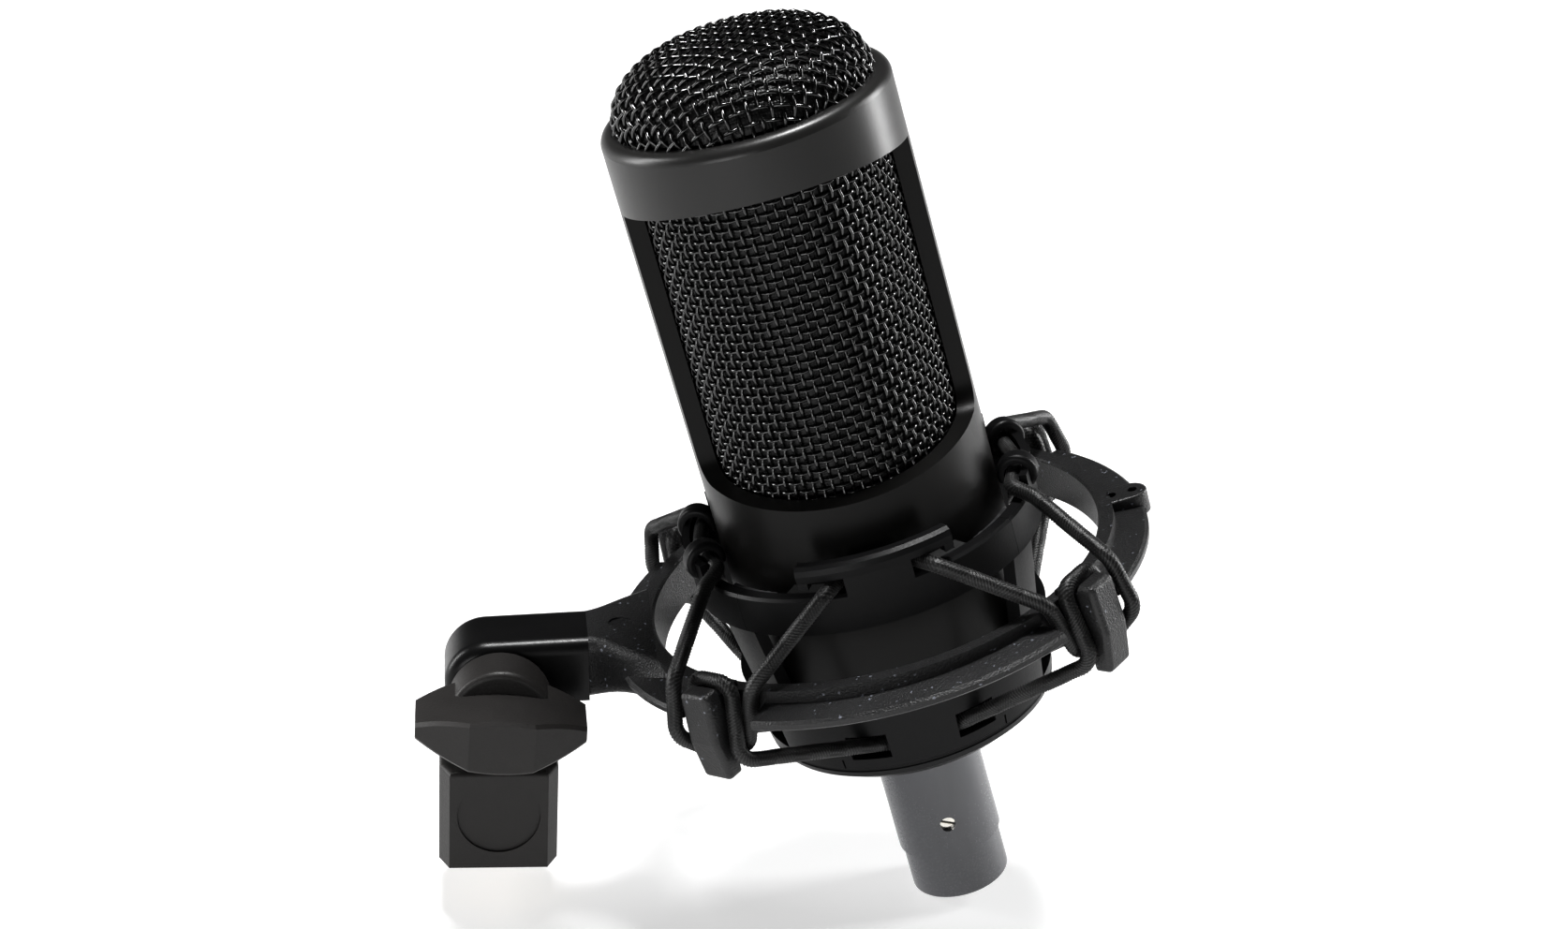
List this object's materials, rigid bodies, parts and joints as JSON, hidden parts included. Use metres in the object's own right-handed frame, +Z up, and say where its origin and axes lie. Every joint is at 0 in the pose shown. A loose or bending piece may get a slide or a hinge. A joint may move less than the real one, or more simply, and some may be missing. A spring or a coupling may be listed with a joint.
{
  "type": "condenser microphone in shock mount",
  "caption": "Side-address studio condenser microphone with woven grille, held by elastic loops in a ring shock mount on a swivelling threaded stand adapter.",
  "frame": {"origin": "mouth of the stand thread, centre of the adapter block's underside", "axes": "+Z up out of the stand; +X from the adapter towards the microphone; the microphone's front and the wing knob face -Y; the microphone leans 17.4 degrees towards -X"},
  "size_m": [0.135, 0.1016, 0.1714],
  "materials": {
    "black_mesh": "gloss black wire",
    "inner_mesh": "fine black wire",
    "black_paint": "satin",
    "clear_plastic_ring": "satin",
    "capsule_brass": "machined",
    "gold_film": "polished",
    "black_plastic": "satin",
    "plated_plate": "zinc plated",
    "board": "lacquered",
    "components": "satin",
    "contact_metal": "polished",
    "nickel": "polished",
    "black_nylon": "fine grain",
    "soft_pad": "matte",
    "steel_plate": "blackened",
    "elastic_braid": "braided",
    "washer_fibre": "matte",
    "grey_cast": "fine texture",
    "brass": "machined"
  },
  "bodies": {
    "stand": {"stand_adapter": "grey_cast", "thread_insert": "brass", "friction_washers": "washer_fibre"},
    "yoke": {"shock_ring": "black_nylon", "yoke": "black_nylon", "yoke_screws": "steel_plate", "pivot_bolt": "steel_plate", "knob_washer": "steel_plate"},
    "knob": {"wing_knob": "grey_cast", "knob_insert": "brass"},
    "cradle": {"cradle_front": "black_nylon", "cradle_rear": "black_nylon", "cradle_cup": "black_nylon", "cup_pad": "soft_pad", "lug_plates": "steel_plate", "cradle_screws": "steel_plate", "grip_pads": "soft_pad", "elastic_upper": "elastic_braid", "elastic_lower": "elastic_braid"},
    "mic": {"dome_grille": "black_mesh", "dome_liner": "inner_mesh", "head_ring": "black_paint", "mic_housing": "black_paint", "side_grille": "black_mesh", "side_liner": "inner_mesh", "capsule_core": "capsule_brass", "diaphragm_front": "gold_film", "diaphragm_rear": "gold_film", "capsule_ring": "clear_plastic_ring", "capsule_post": "black_plastic", "head_plate": "plated_plate", "chassis_rails": "plated_plate", "circuit_board": "board", "board_parts": "components", "base_cone": "black_paint", "base_screws": "plated_plate", "connector_tube": "black_paint", "connector_shell": "black_paint", "xlr_insert": "black_plastic", "xlr_pins": "contact_metal", "set_screw": "nickel", "switch_carrier": "black_plastic"},
    "pad_switch": {"pad_switch": "black_plastic"},
    "lowcut_switch": {"lowcut_switch": "black_plastic"}
  },
  "joints": [
    {"name": "tilt", "type": "hinge", "parent": "stand", "child": "yoke", "pos_m": [0, 0, 0.0345], "axis": [0, 1, 0], "range_deg": [-45, 40]},
    {"name": "knob_turn", "type": "hinge", "parent": "yoke", "child": "knob", "pos_m": [0, 0, 0.0345], "axis": [0, 1, 0], "continuous": true},
    {"name": "suspension", "type": "slide", "parent": "yoke", "child": "cradle", "axis": [-0.299, 0, 0.9542], "range_m": [-0.0025, 0.0025], "stiffness_N_per_m": 3000, "springref_m": 0.0013, "deforming": ["elastic_upper", "elastic_lower"]},
    {"name": "mic_slide", "type": "slide", "parent": "cradle", "child": "mic", "axis": [-0.299, 0, 0.9542], "range_m": [0, 0.12]},
    {"name": "pad_switch", "type": "slide", "parent": "mic", "child": "pad_switch", "axis": [0.9542, 0, 0.299], "range_m": [0, 0.003]},
    {"name": "lowcut_switch", "type": "slide", "parent": "mic", "child": "lowcut_switch", "axis": [0.9542, 0, 0.299], "range_m": [0, 0.003]}
  ]
}
